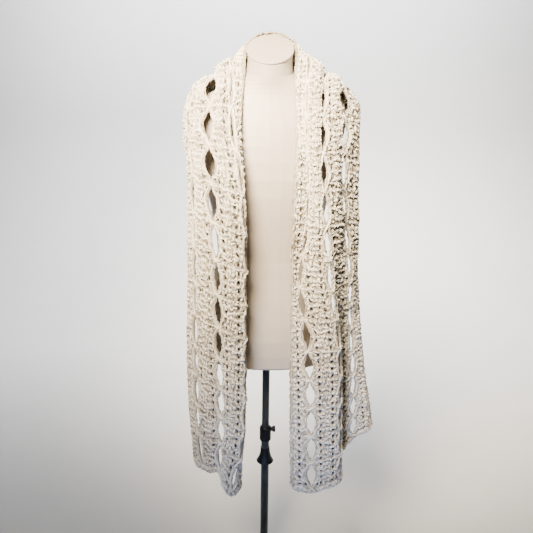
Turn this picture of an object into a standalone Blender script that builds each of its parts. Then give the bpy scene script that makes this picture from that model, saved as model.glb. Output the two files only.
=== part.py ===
"""Crochet scarf draped on a limbless dress form with a telescopic stand.

Metres, +Z up. The origin is the middle of the base's underside, the form faces -Y,
and the scarf hangs from the neck and shoulders with its two ends in front.
The scarf is one long strip with three columns of eye openings along its length.
"""
import math

import bmesh
import bpy
import numpy as np
from mathutils import Matrix

# Scarf, crocheted lengthwise
SCARF_WIDTH = 0.290
COLUMN_SPACING = 0.088
EYES_PER_COLUMN = 30
LONG_EYES = 13
EYE_LENGTH_SHARE = 0.76
HANGING_STRETCH = 0.07
EYE_HALF_WIDTH = 0.0130
EYE_ROUNDNESS = 0.8
KNOT_HALF_WIDTH = 0.0030
HEM_BORDER = 0.015
NECK_GATHER = 0.6
NECK_GATHER_REACH = 0.38
CLOTH_WALL = 0.0040
BAND_RELIEF = 0.0012
CLOTH_CLEARANCE = 0.0008
SEAM_GAP = 0.0004
LEAST_END_ROW = 0.004
PROBE = 0.002

# Dress form
NECK_TOP = 1.600
NECK_FOOT = 1.52
NECK_TILT = math.radians(30)
TORSO_BOTTOM = 0.803
SOCKET_DEPTH = 0.120
TORSO_SIDES = 40
BOTTOM_ROUNDING = 0.007
TRUNK_STEP = 0.042
SHOULDER_HEIGHTS = (
    1.385, 1.408, 1.428, 1.445, 1.459, 1.470, 1.480, 1.490, 1.500, 1.511, 1.523, 1.536, 1.552, 1.575,
)
# Rise above the bottom or the seat, and growth beyond the outline
TORSO_BOTTOM_EDGE = ((0.0, -0.006), (0.002, -0.002))
CAP_EDGE = ((0.0, 0.0012), (0.0012, 0.0024), (0.0030, 0.0024), (0.0042, 0.0010), (0.0050, -0.0120))

# Stand
MAST_RADIUS = 0.0105
MAST_BOTTOM = 0.220
TUBE_RADIUS = 0.01175
TUBE_BORE = 0.01090
TUBE_TOP = 0.552
BASE_RADIUS = 0.165
BASE_THICKNESS = 0.0085
BASE_EDGE = 0.0025
BASE_SIDES = 48
HUB_RADIUS = 0.022
HUB_FOOT = 0.010
HUB_EDGE = 0.003
HUB_TOP = 0.050
COLLAR_BOTTOM = 0.526
COLLAR_TOP = 0.572
COLLAR_RADIUS = 0.0165
COLLAR_EDGE = 0.002
SCREW_HEIGHT = 0.5625
SCREW_RADIUS = 0.0035
BELL_BOTTOM = 0.455
BELL_TOP = 0.501
BELL_TOP_RADIUS = 0.0135
BELL_FLARE = 0.0115
BELL_CURVE = 2.4
BELL_ROWS = 8
BOSS_RADIUS = 0.0068
BOSS_REACH = (0.0138, 0.0182)
DRILL_REACH = (0.0060, 0.0260)
SCREW_SIDES = 24
# Radius and distance from the pole's middle, along the screw
SCREW_HEAD = (
    (SCREW_RADIUS, 0.0188), (0.0060, 0.0188), (0.0085, 0.0215),
    (0.0095, 0.0270), (0.0085, 0.0290), (0.0, 0.0290),
)
SEAT_DEPTH = 0.003
SLIDE_GAP = 0.00045
FIT_GAP = 0.0003
ROUND_SIDES = 32

# Outline of the form: height, half width, depth in front and depth behind the axis, roundness
TORSO_RINGS = (
    (0.803, 0.166, 0.103, 0.108, 2.3),
    (0.840, 0.172, 0.107, 0.114, 2.3),
    (0.900, 0.174, 0.107, 0.116, 2.3),
    (0.980, 0.160, 0.100, 0.104, 2.3),
    (1.060, 0.137, 0.0930, 0.089, 2.3),
    (1.110, 0.130, 0.0930, 0.085, 2.3),
    (1.180, 0.139, 0.0985, 0.089, 2.3),
    (1.250, 0.152, 0.1050, 0.098, 2.3),
    (1.310, 0.163, 0.1055, 0.105, 2.3),
    (1.370, 0.175, 0.0970, 0.106, 2.2),
    (1.420, 0.187, 0.084, 0.100, 2.1),
    (1.455, 0.187, 0.072, 0.092, 1.95),
    (1.480, 0.179, 0.061, 0.084, 1.8),
    (1.500, 0.150, 0.055, 0.076, 1.7),
    (1.520, 0.100, 0.053, 0.066, 1.7),
    (1.545, 0.062, 0.054, 0.057, 1.85),
    (1.570, 0.054, 0.054, 0.054, 2.0),
    (1.600, 0.054, 0.054, 0.054, 2.0),
)

# Drape of the scarf: each row is a cut across it, from the hem at -X over the neck to the
# other hem. Each column is where one line of the cloth lies there, x, y and z in centimetres:
# the inner edge, the first, middle and third columns of eyes, and the outer edge.
DRAPE_SECTIONS = (
    ((-6.4, -15, 47.2), (-9.2, -18.2, 47.4), (-11.9, -15.4, 52.4), (-16.8, -10.8, 50), (-19.6, -6.4, 48.4)),
    ((-7.2, -13.4, 63.2), (-6, -17.2, 63.6), (-11.2, -16.2, 67), (-17.8, -11, 67.2), (-20.8, -6.4, 66.6)),
    ((-8.6, -12.6, 87), (-5.5, -15.6, 87.5), (-11.6, -16.2, 91), (-17.8, -10.8, 92), (-20.6, -6, 91.4)),
    ((-8.6, -13.2, 111), (-5.4, -15.8, 111), (-12, -16.4, 114), (-17.4, -10.2, 115), (-19.8, -5.4, 114)),
    ((-6.6, -12.8, 131), (-6.4, -15, 132), (-13.3, -13.2, 134), (-17.9, -7, 134.5), (-20, -1.6, 132)),
    ((-6.9, -9, 142.5), (-8.6, -11, 142.5), (-13.8, -8.9, 143.2), (-19, -3.4, 142.4), (-20.8, 1.6, 138.4)),
    ((-6.2, -3.6, 152.8), (-9, -4, 153), (-13.3, -2.6, 152.4), (-18.8, 0.4, 149.8), (-21.2, 4, 144)),
    ((-6, 0.6, 158.2), (-8.9, 1.5, 157.5), (-12.8, 3, 153.8), (-17.8, 5.4, 149.4), (-20.4, 8.6, 142.6)),
    ((-5, 4.4, 162.1), (-6.8, 6.2, 158.6), (-8.6, 9.4, 151.2), (-10.8, 12, 144), (-11.9, 13.4, 138)),
    ((0, 6.8, 164.1), (0, 8.5, 158.9), (0, 11.4, 150.6), (0, 13.3, 142.2), (0, 13.9, 136.6)),
    ((5.2, 4.4, 162.4), (7, 6.2, 158.9), (8.8, 9.4, 151.4), (10.9, 12, 144.4), (12, 13.4, 138.4)),
    ((6.2, 0.8, 158.9), (9.1, 1.4, 158), (12.8, 3, 154.6), (18, 5.2, 151), (21.2, 8.4, 144.4)),
    ((6.1, -3.4, 153.2), (9, -4.4, 153), (12.4, -3.6, 152.6), (17.4, -1, 151.8), (21.9, 2.6, 147.2)),
    ((6.4, -9.8, 142.5), (8.8, -10.6, 142.4), (12, -10.4, 142), (17.6, -5.4, 141.6), (22.1, -0.4, 139.4)),
    ((6, -14, 132), (9.4, -12.8, 131.6), (12.7, -13.6, 131.2), (17.8, -7.8, 130.6), (22.3, -2, 128.8)),
    ((5.6, -15, 119.5), (9.2, -13.2, 119.2), (13.8, -14.6, 118.4), (19, -7.4, 117.8), (22.9, -2.6, 116.6)),
    ((5.8, -14.6, 107.5), (8, -13.4, 107.2), (15.2, -14, 106.4), (20.8, -6.6, 106.4), (23.4, -2, 106)),
    ((6.2, -14.2, 91), (10.2, -14.8, 91), (18, -13.4, 90.8), (21.9, -5, 92.4), (24.7, -1.8, 93)),
    ((6.6, -14, 70.6), (11.8, -15.2, 70.6), (19.4, -13.2, 71.4), (23.6, -5, 75.4), (27, -2.6, 76.8)),
    ((7.3, -14.3, 46.6), (12.8, -15.4, 46.6), (20.4, -13.2, 48.6), (24.7, -5.2, 57), (30.2, -3.6, 58.8)),
)
# How far the two inner bands bow out of the straight line between their columns at each of
# these sections, in centimetres, and less than nothing where the band folds back in.
DRAPE_BOWS = (
    (0.7, 0.4), (0.9, 0.6), (1.0, 0.6), (1.0, 0.6), (1.1, 0.8), (1.1, 0.8), (1.1, 0.9),
    (1.1, 0.9), (1.1, 0.9), (0.8, 0.6), (1.1, 0.9), (1.1, 0.9), (1.1, 0.9), (1.1, 0.8),
    (1.1, 0.8), (1.1, 0.4), (0.9, -0.6), (0.8, -1.6), (0.7, -2.2), (0.6, -2.2),
)
# How far the eyes of the first, middle and third column are drawn open at each of these sections
EYE_SLACK = (
    (0.9, 0.9, 0.7), (0.65, 0.9, 0.7), (0.6, 0.85, 0.7), (0.6, 0.85, 0.75), (0.6, 1.45, 0.8),
    (0.6, 1.75, 0.75), (0.6, 1.85, 0.7), (0.7, 1.6, 0.7), (0.8, 1.1, 0.9), (0.8, 0.9, 0.9),
    (0.8, 1.0, 0.9), (0.7, 1.0, 1.3), (0.5, 0.9, 1.8), (0.5, 1.0, 1.0), (0.5, 0.9, 0.85),
    (0.7, 0.75, 0.65), (0.9, 0.6, 0.6), (1.0, 0.6, 0.55), (1.0, 0.6, 0.7), (1.0, 0.6, 0.8),
)
CENTIMETRE = 0.01
FIRST_SHOULDER_ROW = 6
SECOND_SHOULDER_ROW = 12


def clear_scene():
    for item in list(bpy.context.scene.objects):
        bpy.data.objects.remove(item, do_unlink=True)


def make_material(name, colour, roughness, metallic=0.0):
    material = bpy.data.materials.new(name)
    material.use_nodes = True
    shader = material.node_tree.nodes["Principled BSDF"]
    shader.inputs["Base Color"].default_value = (*colour, 1.0)
    shader.inputs["Roughness"].default_value = roughness
    shader.inputs["Metallic"].default_value = metallic
    material.diffuse_color = (*colour, 1.0)
    return material


def make_object(name, points, faces, material):
    mesh = bpy.data.meshes.new(name)
    mesh.from_pydata([tuple(float(value) for value in point) for point in points], [], faces)
    mesh.materials.append(material)
    item = bpy.data.objects.new(name, mesh)
    bpy.context.scene.collection.objects.link(item)
    return item


def face_outwards(item):
    solid = bmesh.new()
    solid.from_mesh(item.data)
    bmesh.ops.recalc_face_normals(solid, faces=solid.faces)
    solid.to_mesh(item.data)
    solid.free()


def shade_round(item, degrees=35):
    item.data.shade_smooth()
    item.data.set_sharp_from_angle(angle=math.radians(degrees))


def blend_rows(stations, values, place):
    """Smooth value at a place between stations, through every row of the values."""
    stations = np.asarray(stations, dtype=float)
    values = np.asarray(values, dtype=float)
    last = len(stations) - 1
    k = int(np.clip(np.searchsorted(stations, place, side="right") - 1, 0, last - 1))

    def slope(i):
        low = max(i - 1, 0)
        high = min(i + 1, last)
        return (values[high] - values[low]) / (stations[high] - stations[low])

    step = stations[k + 1] - stations[k]
    t = (place - stations[k]) / step
    start_slope = slope(k) * step
    end_slope = slope(k + 1) * step
    rise = values[k + 1] - values[k]
    return (values[k] + t * start_slope
            + t * t * (3 * rise - 2 * start_slope - end_slope)
            + t * t * t * (start_slope + end_slope - 2 * rise))


def torso_ring(height):
    rows = np.array(TORSO_RINGS)
    return blend_rows(rows[:, 0], rows[:, 1:], min(max(height, rows[0, 0]), rows[-1, 0]))


def neck_lean(height):
    """How far a ring of the neck tips forward, none at the shoulders and all at the cap."""
    share = (height - NECK_FOOT) / (NECK_TOP - NECK_FOOT)
    return math.tan(NECK_TILT) * min(max(share, 0.0), 1.0)


def form_level(x, y, z):
    """Below 1 inside the dress form, 1 on its surface."""
    height = z
    for _ in range(3):
        height = z - y * neck_lean(height)
    half_width, front, back, power = torso_ring(height)
    depth = front if y < 0 else back
    return ((abs(x) / half_width) ** power + (abs(y) / depth) ** power) ** (1.0 / power)


def keep_clear(point, distance):
    """Move a point of the cloth out until it is this far from the dress form."""
    point = np.array(point, dtype=float)
    step = 0.0005
    for _ in range(6):
        if point[2] > NECK_TOP + 0.03 or point[2] < TORSO_BOTTOM - 0.02:
            break
        level = form_level(*point)
        slope = np.array([
            form_level(*(point + step * axis)) - form_level(*(point - step * axis))
            for axis in np.eye(3)
        ]) / (2 * step)
        size = float(np.linalg.norm(slope))
        gap = (level - 1.0) / size
        if gap >= distance:
            break
        point += slope / size * (distance - gap)
    return point


# The cloth's middle layer
DRAPE = np.array(DRAPE_SECTIONS) * CENTIMETRE
BOWS = np.array(DRAPE_BOWS) * CENTIMETRE
SLACK = np.array(EYE_SLACK)
EDGE_TO_COLUMN = SCARF_WIDTH / 2 - COLUMN_SPACING
COLUMN_PLACES = (EDGE_TO_COLUMN, SCARF_WIDTH / 2, SCARF_WIDTH - EDGE_TO_COLUMN)
LINE_PLACES = (0.0, *COLUMN_PLACES, SCARF_WIDTH)


def length_of_sections():
    """Length along the scarf at each section, measured on its middle column."""
    steps = np.linalg.norm(np.diff(DRAPE[:, 2], axis=0), axis=1)
    return np.concatenate(([0.0], np.cumsum(steps)))


SECTION_LENGTHS = length_of_sections()
SCARF_LENGTH = float(SECTION_LENGTHS[-1])


def knot_places():
    """Lengths along the scarf of the knots between eyes; its own weight spreads the upper ones.

    The first LONG_EYES of them, on the left front, are drawn out to the length of one eye more.
    """
    places = []
    for k in range(EYES_PER_COLUMN + 1):
        share = (k + min(k / LONG_EYES, 1.0)) / (EYES_PER_COLUMN + 1)
        share -= HANGING_STRETCH * math.sin(2 * math.pi * share) / (2 * math.pi)
        places.append(HEM_BORDER + share * (SCARF_LENGTH - 2 * HEM_BORDER))
    return places


KNOT_PLACES = knot_places()


def section_at(along):
    """The lines of the cloth across one cut, with the bowed middle of each inner band."""
    lines = blend_rows(SECTION_LENGTHS, DRAPE, along)
    bows = blend_rows(SECTION_LENGTHS, BOWS, along)
    ahead = blend_rows(SECTION_LENGTHS, DRAPE, along + PROBE)
    behind = blend_rows(SECTION_LENGTHS, DRAPE, along - PROBE)
    places = [LINE_PLACES[0], LINE_PLACES[1]]
    points = [lines[0], lines[1]]
    for k in (1, 2):
        chord = lines[k + 1] - lines[k]
        run = (ahead - behind)[k] + (ahead - behind)[k + 1]
        outward = np.cross(run, chord)
        outward /= np.linalg.norm(outward)
        places.append((LINE_PLACES[k] + LINE_PLACES[k + 1]) / 2)
        points.append((lines[k] + lines[k + 1]) / 2 + outward * bows[k - 1])
        places.append(LINE_PLACES[k + 1])
        points.append(lines[k + 1])
    places.append(LINE_PLACES[-1])
    points.append(lines[-1])
    return places, points


def cloth_point(cut, across):
    """Point of the cloth's middle layer on one cut, clear of the dress form."""
    places, points = cut
    return keep_clear(blend_rows(places, points, across), CLOTH_WALL / 2 + CLOTH_CLEARANCE)


def neck_gather(along):
    """Share by which the first column's eyes close towards the neck."""
    return 1 - NECK_GATHER * math.exp(-((along - SCARF_LENGTH / 2) / NECK_GATHER_REACH) ** 2)


def eye_half_width(along, column):
    """Half the opening between the strands of a column, at the knots its least."""
    k = int(np.searchsorted(KNOT_PLACES, along)) - 1
    if k < 0 or k >= EYES_PER_COLUMN:
        return KNOT_HALF_WIDTH
    phase = (along - KNOT_PLACES[k]) / (KNOT_PLACES[k + 1] - KNOT_PLACES[k])
    reach = (phase - 0.5) / (EYE_LENGTH_SHARE / 2)
    if abs(reach) >= 1:
        return KNOT_HALF_WIDTH
    widest = EYE_HALF_WIDTH * float(blend_rows(SECTION_LENGTHS, SLACK, along)[column])
    return KNOT_HALF_WIDTH + (widest - KNOT_HALF_WIDTH) * math.cos(reach * math.pi / 2) ** EYE_ROUNDNESS


def rows_between(start, end):
    """Lengths of the rows of the mesh: the ends of every eye and three rows inside it."""
    rows = []
    for low, high in zip(KNOT_PLACES, KNOT_PLACES[1:]):
        for share in (0.0, 0.25, 0.5, 0.75, 1.0):
            rows.append(low + (high - low) * ((1 - EYE_LENGTH_SHARE) / 2 + share * EYE_LENGTH_SHARE))
    inside = [row for row in rows if start + LEAST_END_ROW < row < end - LEAST_END_ROW]
    return [start, *inside, end]


def places_across(along):
    """Widths of the lines of the mesh across one row, and which cells are column cells."""
    first, middle, third = COLUMN_PLACES
    near = eye_half_width(along, 0) * neck_gather(along)
    places = [0.0, (first - EYE_HALF_WIDTH) / 2]
    places += [first - near, first, first + near]
    for column, left, right in ((1, first, middle), (2, middle, third)):
        half = eye_half_width(along, column)
        start = left + EYE_HALF_WIDTH
        width = right - left - 2 * EYE_HALF_WIDTH
        places += [start + width / 3, start + width * 2 / 3]
        places += [right - half, right, right + half]
    places += [(SCARF_WIDTH + third + EYE_HALF_WIDTH) / 2, SCARF_WIDTH]
    return places


COLUMN_CELLS = (2, 3, 7, 8, 12, 13)


def is_open(row_start, row_end):
    """True where the cell between two rows lies inside an eye."""
    return eye_half_width((row_start + row_end) / 2, 1) > KNOT_HALF_WIDTH


def build_stretch(name, start, end, material):
    """One stretch of the scarf as a closed wall with its eyes cut through."""
    rows = rows_between(start, end)
    across_count = len(places_across(start))
    outer = np.zeros((len(rows), across_count, 3))
    inner = np.zeros((len(rows), across_count, 3))
    for i, along in enumerate(rows):
        cuts = [section_at(along + step) for step in (0.0, -PROBE, PROBE)]
        for j, across in enumerate(places_across(along)):
            middle = cloth_point(cuts[0], across)
            along_step = cloth_point(cuts[2], across) - cloth_point(cuts[1], across)
            across_step = cloth_point(cuts[0], across + PROBE) - cloth_point(cuts[0], across - PROBE)
            normal = np.cross(along_step, across_step)
            normal /= np.linalg.norm(normal)
            nearest = min(abs(across - column) for column in COLUMN_PLACES)
            relief = BAND_RELIEF * min(nearest / (COLUMN_SPACING / 2), 1.0)
            outer[i, j] = middle + normal * (CLOTH_WALL / 2 + relief)
            inner[i, j] = middle - normal * (CLOTH_WALL / 2)

    def number(layer, i, j):
        return (layer * len(rows) + i) * across_count + j

    points = list(outer.reshape(-1, 3)) + list(inner.reshape(-1, 3))
    cells = set()
    for i in range(len(rows) - 1):
        for j in range(across_count - 1):
            if not (j in COLUMN_CELLS and is_open(rows[i], rows[i + 1])):
                cells.add((i, j))
    faces = []
    for i, j in sorted(cells):
        corners = ((i, j), (i, j + 1), (i + 1, j + 1), (i + 1, j))
        faces.append([number(0, *corner) for corner in reversed(corners)])
        faces.append([number(1, *corner) for corner in corners])
        sides = (((i - 1, j), 0, 1), ((i, j + 1), 1, 2), ((i + 1, j), 2, 3), ((i, j - 1), 3, 0))
        for neighbour, a, b in sides:
            if neighbour not in cells:
                faces.append([
                    number(0, *corners[a]), number(0, *corners[b]),
                    number(1, *corners[b]), number(1, *corners[a]),
                ])
    used = sorted({index for face in faces for index in face})
    renumber = {old: new for new, old in enumerate(used)}
    item = make_object(
        name,
        [points[index] for index in used],
        [[renumber[index] for index in face] for face in faces],
        material,
    )
    face_outwards(item)
    shade_round(item, 50)
    return item


def nearest_knot(along):
    return min(KNOT_PLACES, key=lambda place: abs(place - along))


def build_scarf(material):
    """Three stretches of the strip, which meet over the shoulders."""
    first_cut = float(SECTION_LENGTHS[FIRST_SHOULDER_ROW])
    second_cut = nearest_knot(SECTION_LENGTHS[SECOND_SHOULDER_ROW])
    half_gap = SEAM_GAP / 2
    build_stretch("scarf_left_front", 0.0, first_cut - half_gap, material)
    build_stretch("scarf_behind_neck", first_cut + half_gap, second_cut - half_gap, material)
    build_stretch("scarf_right_front", second_cut + half_gap, SCARF_LENGTH, material)


def ring_points(height, grow, sides, lean):
    """One ring around the form; a point's height follows the neck's lean."""
    half_width, front, back, power = torso_ring(height)
    points = []
    for k in range(sides):
        angle = 2 * math.pi * k / sides
        cosine = math.cos(angle)
        sine = math.sin(angle)
        x = math.copysign(abs(cosine) ** (2 / power), cosine) * (half_width + grow)
        depth = (front if sine < 0 else back) + grow
        y = math.copysign(abs(sine) ** (2 / power), sine) * depth
        points.append((x, y, height + y * lean))
    return points


def skin_rings(name, rings, material):
    """Closed body through rings of equal count, from the lowest to the highest."""
    sides = len(rings[0])
    points = [point for ring in rings for point in ring]
    faces = [list(range(sides - 1, -1, -1))]
    for i in range(len(rings) - 1):
        for k in range(sides):
            after = (k + 1) % sides
            low = i * sides
            high = low + sides
            faces.append([low + k, low + after, high + after, high + k])
    top = (len(rings) - 1) * sides
    faces.append(list(range(top, top + sides)))
    return make_object(name, points, faces, material)


def torso_heights():
    """Heights of the rings, closer together where the outline turns."""
    return [
        TORSO_BOTTOM + BOTTOM_ROUNDING,
        *np.arange(TORSO_BOTTOM + TRUNK_STEP, SHOULDER_HEIGHTS[0] - TRUNK_STEP / 2, TRUNK_STEP),
        *SHOULDER_HEIGHTS,
        NECK_TOP,
    ]


def build_torso(material):
    rings = []
    for rise, grow in TORSO_BOTTOM_EDGE:
        ring = ring_points(TORSO_BOTTOM, grow, TORSO_SIDES, 0.0)
        rings.append([(x, y, TORSO_BOTTOM + rise) for x, y, _ in ring])
    for height in torso_heights():
        rings.append(ring_points(height, 0.0, TORSO_SIDES, neck_lean(height)))
    torso = skin_rings("torso", rings, material)
    socket = turned_body(
        "torso_socket_cutter",
        closed_profile(0.0, MAST_RADIUS + SLIDE_GAP, TORSO_BOTTOM - 0.02, TORSO_BOTTOM + SOCKET_DEPTH),
        material,
    )
    hide_cutter(socket)
    cut = torso.modifiers.new("socket", "BOOLEAN")
    cut.operation = "DIFFERENCE"
    cut.object = socket
    shade_round(torso, 30)


def build_neck_cap(material):
    """Slanted disc with a rounded rim on top of the neck."""
    seat = FIT_GAP / math.cos(NECK_TILT)
    lean = math.tan(NECK_TILT)
    rings = []
    for rise, grow in CAP_EDGE:
        ring = ring_points(NECK_TOP, grow, TORSO_SIDES, lean)
        rings.append([(x, y, z + seat + rise) for x, y, z in ring])
    cap = skin_rings("neck_cap", rings, material)
    shade_round(cap, 40)


def closed_profile(inner, outer, bottom, top):
    """Outline of a plain turned ring or rod, up its outer side."""
    return [(inner, bottom), (outer, bottom), (outer, top), (inner, top)]


def turned_body(name, profile, material, sides=ROUND_SIDES):
    """Closed body of an outline turned about Z; the outline goes up its outer side."""
    points = []
    rows = []
    for radius, height in profile:
        if radius <= 0:
            rows.append([len(points)] * sides)
            points.append((0.0, 0.0, height))
            continue
        row = []
        for k in range(sides):
            angle = 2 * math.pi * k / sides
            row.append(len(points))
            points.append((radius * math.cos(angle), radius * math.sin(angle), height))
        rows.append(row)
    faces = []
    for i, low in enumerate(rows):
        high = rows[(i + 1) % len(rows)]
        if low[0] == low[1] and high[0] == high[1]:
            continue
        for k in range(sides):
            after = (k + 1) % sides
            corners = [low[k], low[after], high[after], high[k]]
            faces.append(list(dict.fromkeys(corners)))
    item = make_object(name, points, faces, material)
    shade_round(item)
    return item


def hide_cutter(item):
    item.hide_render = True
    item.display_type = "WIRE"


def combine(item, other, operation):
    step = item.modifiers.new(operation.lower(), "BOOLEAN")
    step.operation = operation
    step.object = other


def lay_along_x(item, height):
    """Turn a body made about Z so that it points along +X at this height."""
    item.data.transform(Matrix.Translation((0.0, 0.0, height)) @ Matrix.Rotation(math.pi / 2, 4, "Y"))


def build_stand(steel, plastic):
    mast_top = TORSO_BOTTOM + SOCKET_DEPTH - FIT_GAP
    turned_body("mast", closed_profile(0.0, MAST_RADIUS, MAST_BOTTOM, mast_top), steel)
    tube_bottom = BASE_THICKNESS - SEAT_DEPTH + FIT_GAP
    turned_body("outer_tube", closed_profile(TUBE_BORE, TUBE_RADIUS, tube_bottom, TUBE_TOP), steel)
    build_base(steel)
    build_flared_collar(plastic)
    build_clamp(plastic)


def build_base(material):
    """Round plate with an upright hub that holds the tube."""
    bore = TUBE_RADIUS + FIT_GAP
    profile = [
        (0.0, 0.0),
        (BASE_RADIUS - BASE_EDGE, 0.0),
        (BASE_RADIUS, BASE_EDGE),
        (BASE_RADIUS, BASE_THICKNESS - BASE_EDGE),
        (BASE_RADIUS - BASE_EDGE, BASE_THICKNESS),
        (HUB_RADIUS + HUB_FOOT, BASE_THICKNESS),
        (HUB_RADIUS, BASE_THICKNESS + HUB_FOOT),
        (HUB_RADIUS - HUB_EDGE, HUB_TOP - HUB_EDGE),
        (HUB_RADIUS - 2 * HUB_EDGE, HUB_TOP),
        (bore, HUB_TOP),
        (bore, BASE_THICKNESS - SEAT_DEPTH),
        (0.0, BASE_THICKNESS - SEAT_DEPTH),
    ]
    turned_body("base", profile, material, BASE_SIDES)


def build_flared_collar(material):
    """Bell on the lower tube, wide at its bottom."""
    bore = TUBE_RADIUS + FIT_GAP
    profile = [(bore, BELL_BOTTOM)]
    for share in np.linspace(0.0, 1.0, BELL_ROWS):
        radius = BELL_TOP_RADIUS + BELL_FLARE * (1 - share) ** BELL_CURVE
        profile.append((radius, BELL_BOTTOM + (BELL_TOP - BELL_BOTTOM) * share))
    profile.append((bore, BELL_TOP))
    turned_body("flared_collar", profile, material)


def build_clamp(material):
    """Collar that ends the lower tube and grips the mast with a thumb screw."""
    tube_bore = TUBE_RADIUS + FIT_GAP
    mast_bore = MAST_RADIUS + SLIDE_GAP
    step = TUBE_TOP + FIT_GAP
    profile = [
        (tube_bore, COLLAR_BOTTOM),
        (COLLAR_RADIUS - COLLAR_EDGE, COLLAR_BOTTOM),
        (COLLAR_RADIUS, COLLAR_BOTTOM + COLLAR_EDGE),
        (COLLAR_RADIUS, COLLAR_TOP - 2 * COLLAR_EDGE),
        (COLLAR_RADIUS - 2 * COLLAR_EDGE, COLLAR_TOP),
        (mast_bore, COLLAR_TOP),
        (mast_bore, step),
        (tube_bore, step),
    ]
    collar = turned_body("clamp_collar", profile, material)
    boss = turned_body("clamp_boss_guide", closed_profile(0.0, BOSS_RADIUS, *BOSS_REACH), material, 20)
    lay_along_x(boss, SCREW_HEIGHT)
    hide_cutter(boss)
    combine(collar, boss, "UNION")
    drill = closed_profile(0.0, SCREW_RADIUS + SLIDE_GAP, *DRILL_REACH)
    hole = turned_body("clamp_hole_cutter", drill, material, SCREW_SIDES)
    lay_along_x(hole, SCREW_HEIGHT)
    hide_cutter(hole)
    combine(collar, hole, "DIFFERENCE")
    screw_profile = [
        (0.0, MAST_RADIUS + FIT_GAP),
        (SCREW_RADIUS, MAST_RADIUS + FIT_GAP),
        *SCREW_HEAD,
    ]
    screw = turned_body("clamp_screw", screw_profile, material, SCREW_SIDES)
    lay_along_x(screw, 0.0)
    screw.location = (0.0, 0.0, SCREW_HEIGHT)


def main():
    clear_scene()
    cotton = make_material("ivory_cotton", (0.86, 0.82, 0.74), 0.92)
    shell = make_material("warm_white_shell", (0.80, 0.77, 0.73), 0.55)
    steel = make_material("slate_painted_steel", (0.055, 0.062, 0.068), 0.42)
    plastic = make_material("black_plastic", (0.010, 0.010, 0.011), 0.5)
    build_scarf(cotton)
    build_torso(shell)
    build_neck_cap(shell)
    build_stand(steel, plastic)
    bpy.context.view_layer.update()


main()
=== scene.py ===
import math

import bpy
import numpy as np
from mathutils import Matrix, Vector


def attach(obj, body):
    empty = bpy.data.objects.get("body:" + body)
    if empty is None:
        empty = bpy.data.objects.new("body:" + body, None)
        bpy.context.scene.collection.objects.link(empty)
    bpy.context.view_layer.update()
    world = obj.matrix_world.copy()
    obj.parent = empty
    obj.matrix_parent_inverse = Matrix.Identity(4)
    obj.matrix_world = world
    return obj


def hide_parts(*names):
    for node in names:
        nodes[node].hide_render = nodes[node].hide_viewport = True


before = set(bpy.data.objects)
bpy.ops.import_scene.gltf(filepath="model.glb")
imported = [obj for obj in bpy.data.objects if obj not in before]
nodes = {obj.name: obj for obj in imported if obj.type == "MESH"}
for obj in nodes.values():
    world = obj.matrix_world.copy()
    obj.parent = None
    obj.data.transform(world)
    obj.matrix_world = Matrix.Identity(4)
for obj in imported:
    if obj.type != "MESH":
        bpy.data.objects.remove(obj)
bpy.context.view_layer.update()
print("scene: frame loaded")


# node helpers
def newNodes(name):
    material = bpy.data.materials.new(name)
    material.use_nodes = True
    tree = material.node_tree
    return material, tree, tree.nodes["Principled BSDF"]


def addNode(tree, kind, **settings):
    node = tree.nodes.new(kind)
    for key, value in settings.items():
        setattr(node, key, value)
    return node


def noiseNode(tree, source, scale, detail, roughness=0.6):
    node = addNode(tree, "ShaderNodeTexNoise")
    node.inputs["Scale"].default_value = scale
    node.inputs["Detail"].default_value = detail
    node.inputs["Roughness"].default_value = roughness
    tree.links.new(source, node.inputs["Vector"])
    return node.outputs["Fac"]


def rampNode(tree, source, stops):
    node = addNode(tree, "ShaderNodeValToRGB")
    band = node.color_ramp
    band.elements[0].position, band.elements[0].color = stops[0][0], (*stops[0][1], 1)
    band.elements[1].position, band.elements[1].color = stops[-1][0], (*stops[-1][1], 1)
    for place, colour in stops[1:-1]:
        band.elements.new(place).color = (*colour, 1)
    tree.links.new(source, node.inputs["Fac"])
    return node.outputs["Color"]


def mixNode(tree, factor, first, second, kind="MIX"):
    node = addNode(tree, "ShaderNodeMix", data_type="RGBA", blend_type=kind)
    if isinstance(factor, float):
        node.inputs["Factor"].default_value = factor
    else:
        tree.links.new(factor, node.inputs["Factor"])
    for socket, value in ((node.inputs[6], first), (node.inputs[7], second)):
        if isinstance(value, tuple):
            socket.default_value = (*value, 1)
        else:
            tree.links.new(value, socket)
    return node.outputs[2]


def bumpNode(tree, height, strength, distance):
    node = addNode(tree, "ShaderNodeBump")
    node.inputs["Strength"].default_value = strength
    node.inputs["Distance"].default_value = distance
    tree.links.new(height, node.inputs["Height"])
    return node.outputs["Normal"]


def roughRange(tree, source, low, high):
    node = addNode(tree, "ShaderNodeMapRange")
    tree.links.new(source, node.inputs["Value"])
    node.inputs["To Min"].default_value = low
    node.inputs["To Max"].default_value = high
    return node.outputs["Result"]


def objectPlace(tree):
    return addNode(tree, "ShaderNodeTexCoord").outputs["Object"]


def placeObject(name, contents):
    placed = bpy.data.objects.new(name, contents)
    bpy.context.scene.collection.objects.link(placed)
    return placed


# the drape
scarf = {
    "width": 0.290,              # flat width
    "columnSpacing": 0.088,      # between the columns of eyes
    "stretchEnds": (6, 12),      # cuts of the drape at which its three stretches meet
    "eyesPerColumn": 30,
    "longEyes": 13,              # on the left front, drawn out to the length of one eye more
    "eyeLengthShare": 0.76,
    "hangingStretch": 0.07,
    "eyeHalfWidth": 0.0130,
    "knotHalfWidth": 0.0030,
    "hemBorder": 0.015,
    "neckGather": 0.6,
    "neckGatherReach": 0.38,
    "cornerRadius": 0.016,
    "offForm": 0.0028,           # cloth's middle to the form, at least
    "seed": 11,
}
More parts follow.
